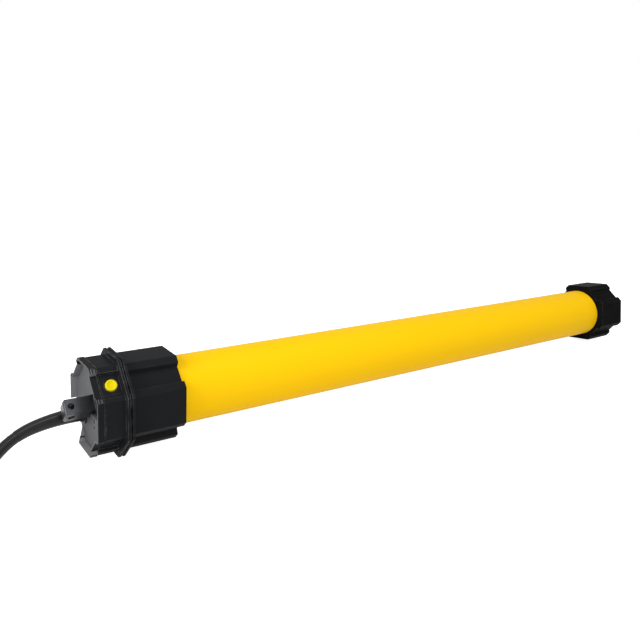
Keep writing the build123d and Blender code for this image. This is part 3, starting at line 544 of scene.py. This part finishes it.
def coat_material(name, colour):
    """Powder coat: a faint orange peel and the least change of shade."""
    material, tree, shader = new_material(name, IOR=POLYMER_INDEX, Specular_IOR_Level=COAT_GLOSS)
    grains = effect(tree, "Moulded grain", {"Grain scale": 900.0, "Mottle scale": 18.0})
    deep = dimmed(colour, share=0.96)
    shade_between(tree, grains.outputs["Mottle"], deep, colour, shader)
    rough_between(tree, grains.outputs["Mottle"], 0.4, 0.5, shader)
    bump(tree, grains.outputs["Height"], shader, distance=0.04 * MM, strength=0.12)
    return material


def metal_material(name, colour, roughness=(0.25, 0.4), metallic=1.0, across=3000.0):
    """Metal with the lines that its making left."""
    material, tree, shader = new_material(name, Metallic=metallic)
    lines = effect(tree, "Drawn lines", {"Along": 60.0, "Across": across})
    deep = dimmed(colour, share=0.85)
    shade_between(tree, lines.outputs["Shade"], deep, colour, shader)
    rough_between(tree, lines.outputs["Shade"], *roughness, shader)
    bump(tree, lines.outputs["Height"], shader, distance=0.02 * MM, strength=0.15)
    return material


def sheath_material(name, colour, roughness=(0.24, 0.34)):
    """Soft sheath or rubber: smooth, with slow changes of gloss."""
    material, tree, shader = new_material(name, IOR=POLYMER_INDEX, Specular_IOR_Level=SHEATH_GLOSS)
    grains = effect(tree, "Moulded grain", {"Grain scale": 1400.0, "Mottle scale": 90.0})
    pale = lifted(colour, share=0.01)
    shade_between(tree, grains.outputs["Mottle"], colour, pale, shader)
    rough_between(tree, grains.outputs["Mottle"], *roughness, shader)
    bump(tree, grains.outputs["Height"], shader, distance=0.02 * MM, strength=0.1)
    return material


def dress(material, *nodes):
    """Gives a material to CAD nodes."""
    for name in nodes:
        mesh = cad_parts[name].data
        mesh.materials.clear()
        mesh.materials.append(material)


def round_edges(width, *nodes):
    """Rounds the sharp edges of CAD nodes with modifiers, their meshes as they are."""
    for name in nodes:
        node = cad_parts[name]
        weld = node.modifiers.new("Join split corners", "WELD")
        weld.merge_threshold = WELD_DISTANCE
        merge = node.modifiers.new("Join flat faces", "DECIMATE")
        merge.decimate_type = "DISSOLVE"
        merge.angle_limit = FLAT_ANGLE
        bevel = node.modifiers.new("Rounded edges", "BEVEL")
        bevel.width = width
        bevel.segments = EDGE_SEGMENTS
        bevel.limit_method = "ANGLE"
        bevel.angle_limit = SHARP_ANGLE
        bevel.harden_normals = True
        bevel.use_clamp_overlap = True


class MOTOR_OT_stage(bpy.types.Operator):
    """Sets the camera, the sky, the lamps and the floor"""

    bl_idname = "motor.stage"
    bl_label = "Stage"

    def execute(self, context):
        look = context.scene.motor_stage
        self.add_camera(context, look)
        self.add_sky(context, look)
        self.add_floor(context, look)
        for power, (name, place, size) in LAMPS.items():
            self.add_lamp(context, name, place, size, getattr(look, power))
        context.scene.view_settings.view_transform = "Standard"
        return {"FINISHED"}

    def add_camera(self, context, look):
        data = bpy.data.cameras.new("Camera")
        data.lens = look.lens
        data.sensor_width = 36
        data.shift_y = look.frame_shift
        data.clip_start = 0.01
        camera = bpy.data.objects.new("Camera", data)
        camera.location = look.camera_place
        camera.rotation_euler = look.camera_turn
        context.scene.collection.objects.link(camera)
        context.scene.camera = camera

    def add_sky(self, context, look):
        world = bpy.data.worlds.new("Studio")
        world.use_nodes = True
        context.scene.world = world
        tree = world.node_tree
        light = tree.nodes["Background"]
        light.inputs["Color"].default_value = (1, 1, 1, 1)
        light.inputs["Strength"].default_value = look.sky_strength
        seen = add_node(tree, "ShaderNodeBackground", {"Color": (1, 1, 1, 1), "Strength": 1.0})
        mix = add_node(tree, "ShaderNodeMixShader")
        tree.links.new(seen_rays(tree), mix.inputs["Fac"])
        tree.links.new(light.outputs["Background"], mix.inputs[1])
        tree.links.new(seen.outputs["Background"], mix.inputs[2])
        tree.links.new(mix.outputs["Shader"], tree.nodes["World Output"].inputs["Surface"])

    def add_floor(self, context, look):
        bpy.ops.mesh.primitive_plane_add(size=FLOOR_SIZE, location=(0, 0, 0))
        floor = context.object
        floor.name = "Floor"
        material, tree, shader = new_material("Paper floor", Roughness=0.85, Specular_IOR_Level=0.2)
        shader.inputs["Base Color"].default_value = (*look.floor_colour, 1.0)
        glow = add_node(tree, "ShaderNodeEmission", {"Color": (1, 1, 1, 1), "Strength": look.floor_glow})
        add = add_node(tree, "ShaderNodeAddShader")
        mix = add_node(tree, "ShaderNodeMixShader")
        tree.links.new(shader.outputs["BSDF"], add.inputs[0])
        tree.links.new(glow.outputs["Emission"], add.inputs[1])
        tree.links.new(seen_rays(tree), mix.inputs["Fac"])
        tree.links.new(shader.outputs["BSDF"], mix.inputs[1])
        tree.links.new(add.outputs["Shader"], mix.inputs[2])
        tree.links.new(mix.outputs["Shader"], tree.nodes["Material Output"].inputs["Surface"])
        floor.data.materials.append(material)

    def add_lamp(self, context, name, place, size, power):
        data = bpy.data.lights.new(name, "AREA")
        data.shape = "RECTANGLE"
        data.size, data.size_y = size
        data.energy = power
        lamp = bpy.data.objects.new(name, data)
        lamp.location = place
        lamp.rotation_euler = (LAMP_TARGET - Vector(place)).to_track_quat("-Z", "Y").to_euler()
        context.scene.collection.objects.link(lamp)


def half_turn_points(start, sign, along, out, reach, rise):
    """Control points of one half turn, a little outside it, because the spline runs inside them."""
    step = math.pi / POINTS_PER_HALF_TURN
    outside = reach / math.cos(step / 2)
    centre = start - sign * reach * out
    points = []
    for number in range(1, POINTS_PER_HALF_TURN):
        angle = number * step
        spot = centre + sign * outside * (along * math.sin(angle) + out * math.cos(angle))
        points.append(spot + Vector((0, 0, rise * number / POINTS_PER_HALF_TURN)))
    return points


def coil_points(look):
    """Control points of the coil: spiral in on the surface, climb, and spiral out on top."""
    pitch = look.diameter + look.turn_gap
    reach = look.coil_radius + (look.layer_half_turns - 1) / 4 * pitch
    place = Vector(FREE_ROUTE[-1])
    along = (place - Vector(FREE_ROUTE[-2])).normalized()
    out = Vector((-along.y, along.x, 0))
    overshoot = 1 / math.cos(math.pi / POINTS_PER_HALF_TURN / 2) - 1
    climb = look.layer_half_turns - 1
    sign = 1
    points = []
    for number in range(2 * climb + 1):
        rise = pitch if number == climb else 0
        points += half_turn_points(place, sign, along, out, reach, rise)
        place = place - 2 * sign * reach * out + Vector((0, 0, rise))
        points.append(place - sign * reach * overshoot * out)
        sign = -sign
        reach += -pitch / 2 if number < climb else pitch / 2
    points[-1] = place
    return points, sign * along


def smooth_curve(name, points, radius, material, taper=1.0):
    """A round bar along one smooth spline with these control points, which may thin to a share."""
    data = bpy.data.curves.new(name, "CURVE")
    data.dimensions = "3D"
    data.bevel_depth = radius
    data.bevel_resolution = CURVE_STEPS
    data.resolution_u = CURVE_STEPS
    data.use_fill_caps = True
    spline = data.splines.new("NURBS")
    spline.points.add(len(points) - 1)
    for number, (point, place) in enumerate(zip(spline.points, points)):
        point.co = (*place, 1.0)
        point.radius = 1 + (taper - 1) * number / (len(points) - 1)
    spline.order_u = 3
    spline.use_endpoint_u = True
    data.materials.append(material)
    curve = bpy.data.objects.new(name, data)
    bpy.context.scene.collection.objects.link(curve)
    return curve


def line_points(curve):
    """Points along a curve's smooth line, read from the line itself without its thickness."""
    line = curve.data.copy()
    line.bevel_depth = 0
    line.resolution_u = LINE_STEPS
    thread = bpy.data.objects.new("Thread", line)
    mesh = bpy.data.meshes.new_from_object(thread)
    points = [vertex.co.copy() for vertex in mesh.vertices]
    bpy.data.meshes.remove(mesh)
    bpy.data.objects.remove(thread)
    bpy.data.curves.remove(line)
    return points


def turned(name, profile, origin, direction, material):
    """A turned piece: a profile of (along, radius) points about a direction from an origin."""
    mesh = bmesh.new()
    turn = Vector((1, 0, 0)).rotation_difference(Vector(direction)).to_matrix()
    rings = []
    for along, radius in profile:
        ring = []
        for number in range(FERRULE_SEGMENTS):
            angle = 2 * math.pi * number / FERRULE_SEGMENTS
            spot = turn @ Vector((along, radius * math.cos(angle), radius * math.sin(angle)))
            ring.append(mesh.verts.new(Vector(origin) + spot))
        rings.append(ring)
    for ring, after in zip(rings, rings[1:]):
        for number in range(FERRULE_SEGMENTS):
            follow = (number + 1) % FERRULE_SEGMENTS
            mesh.faces.new((ring[number], ring[follow], after[follow], after[number]))
    mesh.faces.new(rings[0][::-1])
    mesh.faces.new(rings[-1])
    bmesh.ops.recalc_face_normals(mesh, faces=mesh.faces)
    data = bpy.data.meshes.new(name)
    mesh.to_mesh(data)
    mesh.free()
    data.materials.append(material)
    data.shade_smooth()
    piece = bpy.data.objects.new(name, data)
    bpy.context.scene.collection.objects.link(piece)
    return piece


class MOTOR_OT_cord(bpy.types.Operator):
    """Lays the mains cord with its bend sleeve, its coil, its stripped cores and their ferrules"""

    bl_idname = "motor.cord"
    bl_label = "Cord"

    def execute(self, context):
        look = context.scene.motor_cord
        sheath = sheath_material("Cord sheath", look.sheath_colour)
        turns, ahead = coil_points(look)
        points = FREE_ROUTE + [tuple(turn) for turn in turns]
        cord = smooth_curve("mains_cord", points, look.diameter / 2, sheath)
        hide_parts("power_cable", "cable_coil")
        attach(cord, "motor_body")
        taper = look.sleeve_end / look.sleeve_root
        covered = line_points(cord)[: look.sleeve_steps + 1]
        sleeve = smooth_curve("bend_sleeve", covered, look.sleeve_root, sheath, taper=taper)
        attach(sleeve, "motor_body")
        pieces = [sleeve, *self.add_cores(look, turns[-1], ahead)]
        return {"FINISHED"}

    def add_cores(self, look, end, ahead):
        ferrule_steel = metal_material("Ferrule tin", (0.7, 0.7, 0.7))
        pieces = []
        side = Vector((-ahead.y, ahead.x, 0))
        for number, (name, colour) in enumerate(CORE_COLOURS.items()):
            angle = 2 * math.pi * (number + 0.5) / len(CORE_COLOURS)
            out = side * math.cos(angle) + Vector((0, 0, math.sin(angle)))
            points = self.core_points(look, end, ahead, out)
            material = sheath_material(name.replace("_", " "), colour, (0.3, 0.4))
            core = smooth_curve(name, [tuple(point) for point in points], look.core_radius, material)
            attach(core, "motor_body")
            pieces.append(core)
            way = (points[-1] - points[-2]).normalized()
            profile = self.ferrule_profile(look)
            ferrule = turned(name + "_ferrule", profile, points[-1], way, ferrule_steel)
            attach(ferrule, "motor_body")
            pieces.append(ferrule)
        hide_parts("cable_cores")
        return pieces

    def core_points(self, look, end, ahead, out):
        """Control points of one core, from inside the sheath to its ferrule, as it spreads outwards."""
        reach = look.core_length - FERRULE_ROOM
        return [
            end - ahead * CORE_INSET + out * CORE_OFFSET_INSIDE,
            end + ahead * CORE_STRAIGHT + out * CORE_OFFSET_INSIDE,
            end + ahead * reach * CORE_BEND_SHARE + out * (CORE_OFFSET_INSIDE + CORE_OFFSET_SPREAD) / 2,
            end + ahead * reach + out * CORE_OFFSET_SPREAD,
        ]

    def ferrule_profile(self, look):
        """The ferrule's outline from its collar to its tip, as places along it and radii."""
        collar = look.core_radius + COLLAR_WALL
        return [
            (-2.0 * MM, collar),
            (0.2 * MM, collar),
            (1.0 * MM, FERRULE_RADIUS),
            (6.2 * MM, FERRULE_RADIUS),
            (6.5 * MM, FERRULE_RADIUS * 0.8),
        ]


class MOTOR_OT_head(bpy.types.Operator):
    """Finishes the head's housing, end cap and gland, all the screws, and the wheel's washer"""

    bl_idname = "motor.head"
    bl_label = "Head"

    def execute(self, context):
        look = context.scene.motor_plastic
        dress(plastic_material("Head plastic", look.body_colour, grain=look.grain_size), "head_housing")
        # The cap's face and sunk walls get painted light: colours paler than the body's plastic.
        dress(
            painted_light_sunk_material("Cap plastic", look.body_colour, look.cap_face_painted_light, look.wall_painted_light),
            "head_end_cap",
        )
        dress(sheath_material("Gland rubber", (0.012, 0.012, 0.012), (0.45, 0.6)), "cable_gland")
        dress(metal_material("Screw zinc", (0.6, 0.6, 0.58)), "head_screws", "wheel_screw", "wheel_washer")
        round_edges(look.edge_round, "head_housing", "head_end_cap")
        return {"FINISHED"}


class MOTOR_OT_pin(bpy.types.Operator):
    """Finishes the square mounting pin"""

    bl_idname = "motor.pin"
    bl_label = "Mounting pin"

    def execute(self, context):
        look = context.scene.motor_metal
        coat = metal_material("Pin coat", look.pin_colour, (0.3, 0.42), metallic=0.7, across=1500.0)
        dress(coat, "mounting_pin")
        round_edges(PIN_ROUND, "mounting_pin")
        return {"FINISHED"}


class MOTOR_OT_button(bpy.types.Operator):
    """Finishes the set button and what it presses"""

    bl_idname = "motor.button"
    bl_label = "Set button"

    def execute(self, context):
        look = context.scene.motor_paint
        # Its edges are painted lighter by a tenth, as wear and as a painted highlight.
        yellow = plastic_material("Button plastic", look.button_colour, (0.28, 0.34), edge_highlight=0.1)
        dress(yellow, "set_button")
        dress(plastic_material("Switch case", (0.02, 0.02, 0.02)), "set_switch", "switch_plunger")
        dress(sheath_material("Silicone", (0.7, 0.7, 0.68), (0.4, 0.5)), "button_return_ring")
        dress(plastic_material("Black solder mask", (0.01, 0.01, 0.01), (0.2, 0.3)), "button_board")
        round_edges(BUTTON_ROUND, "set_button")
        return {"FINISHED"}


class MOTOR_OT_crown(bpy.types.Operator):
    """Finishes the crown and what it carries"""

    bl_idname = "motor.crown"
    bl_label = "Crown"

    def execute(self, context):
        look = context.scene.motor_plastic
        dress(plastic_material("Crown plastic", look.body_colour, grain=look.grain_size), "crown_ring")
        dress(plastic_material("Bonded magnet", (0.03, 0.028, 0.027), (0.5, 0.6)), "encoder_magnet_ring")
        dress(metal_material("Spring steel", (0.35, 0.35, 0.36)), "crown_clip")
        round_edges(look.edge_round, "crown_ring")
        return {"FINISHED"}


class MOTOR_OT_tube(bpy.types.Operator):
    """Finishes the motor tube"""

    bl_idname = "motor.tube"
    bl_label = "Motor tube"

    def execute(self, context):
        dress(coat_material("Yellow powder coat", context.scene.motor_paint.tube_colour), "motor_tube")
        return {"FINISHED"}


class MOTOR_OT_wheel(bpy.types.Operator):
    """Finishes the drive wheel"""

    bl_idname = "motor.wheel"
    bl_label = "Drive wheel"

    def execute(self, context):
        look = context.scene.motor_plastic
        # Its edges are painted lighter by a tenth, as wear and as a painted highlight.
        plastic = plastic_material(
            "Wheel plastic", look.wheel_colour, edge_highlight=0.1, grain=look.grain_size, gloss=WHEEL_GLOSS
        )
        dress(plastic, "drive_wheel")
        round_edges(look.edge_round, "drive_wheel")
        return {"FINISHED"}


class MOTOR_OT_electronics(bpy.types.Operator):
    """Finishes the board, its components and the capacitor"""

    bl_idname = "motor.electronics"
    bl_label = "Electronics"

    def execute(self, context):
        dress(
            plastic_material("Grey nylon", (0.2, 0.2, 0.2), (0.45, 0.55)),
            "board_carrier",
            "capacitor_cradles",
            "brake_housing",
        )
        dress(plastic_material("Green solder mask", (0.01, 0.12, 0.03), (0.2, 0.3)), "control_board")
        dress(plastic_material("Component cases", (0.03, 0.03, 0.032)), "board_components")
        dress(plastic_material("Capacitor can", (0.55, 0.55, 0.53), (0.3, 0.4)), "run_capacitor")
        return {"FINISHED"}


class MOTOR_OT_drive(bpy.types.Operator):
    """Finishes the motor, the brake and the gearbox"""

    bl_idname = "motor.drive"
    bl_label = "Motor, brake and gearbox"

    def execute(self, context):
        steel = metal_material("Turned steel", context.scene.motor_metal.steel_colour)
        stages = ("first", "second", "third")
        dress(
            steel,
            "rear_bearing",
            "front_bearing",
            "rotor_shaft",
            "brake_hub",
            "brake_plate",
            "brake_spring",
            "ring_gear_housing",
            "output_shaft",
            *(f"{stage}_carrier" for stage in stages),
            *(f"{stage}_sun_gear" for stage in stages),
        )
        planets = [f"{stage}_planet_{number}" for stage in stages for number in (1, 2, 3)]
        dress(plastic_material("Acetal", (0.75, 0.72, 0.62), (0.3, 0.4)), *planets)
        dress(metal_material("Laminations", (0.12, 0.12, 0.13), across=8000.0), "stator_core", "rotor_core")
        dress(
            metal_material("Cast aluminium", (0.6, 0.6, 0.61), (0.35, 0.5)),
            "rotor_end_rings",
            "rear_end_shield",
            "front_end_shield",
            "gearbox_cover",
        )
        copper = metal_material("Enamelled copper", (0.55, 0.2, 0.07), (0.2, 0.35))
        dress(copper, "stator_windings", "brake_coil")
        bronze = metal_material("Sintered bronze", (0.5, 0.32, 0.12), (0.4, 0.6))
        dress(bronze, "output_bushing", "thrust_washer")
        dress(plastic_material("Friction lining", (0.07, 0.045, 0.03), (0.7, 0.8)), "brake_disc")
        return {"FINISHED"}


STEPS = (
    MOTOR_OT_stage,
    MOTOR_OT_cord,
    MOTOR_OT_head,
    MOTOR_OT_pin,
    MOTOR_OT_button,
    MOTOR_OT_crown,
    MOTOR_OT_tube,
    MOTOR_OT_wheel,
    MOTOR_OT_electronics,
    MOTOR_OT_drive,
)


class MOTOR_PT_panel(bpy.types.Panel):
    """The sidebar's list of the motor's pieces and looks"""

    bl_label = "Blind Motor"
    bl_idname = "MOTOR_PT_panel"
    bl_space_type = "VIEW_3D"
    bl_region_type = "UI"
    bl_category = "Blind Motor"

    def draw(self, context):
        for step in STEPS:
            self.layout.operator(step.bl_idname)
        for name in LOOKS:
            box = self.layout.box()
            look = getattr(context.scene, name)
            for prop in look.bl_rna.properties:
                if prop.identifier not in ("rna_type", "name"):
                    box.prop(look, prop.identifier)


def register():
    """Registers the looks, the operators and the panel."""
    for name, look in LOOKS.items():
        bpy.utils.register_class(look)
        setattr(bpy.types.Scene, name, bpy.props.PointerProperty(type=look))
    for step in (*STEPS, MOTOR_PT_panel):
        bpy.utils.register_class(step)


def unregister():
    """Takes back what register made."""
    for step in (MOTOR_PT_panel, *reversed(STEPS)):
        bpy.utils.unregister_class(step)
    for name, look in reversed(LOOKS.items()):
        delattr(bpy.types.Scene, name)
        bpy.utils.unregister_class(look)


def main():
    """Makes the whole scene."""
    register()
    for step in STEPS:
        area, name = step.bl_idname.split(".")
        getattr(getattr(bpy.ops, area), name)()


if __name__ == "__main__":
    main()
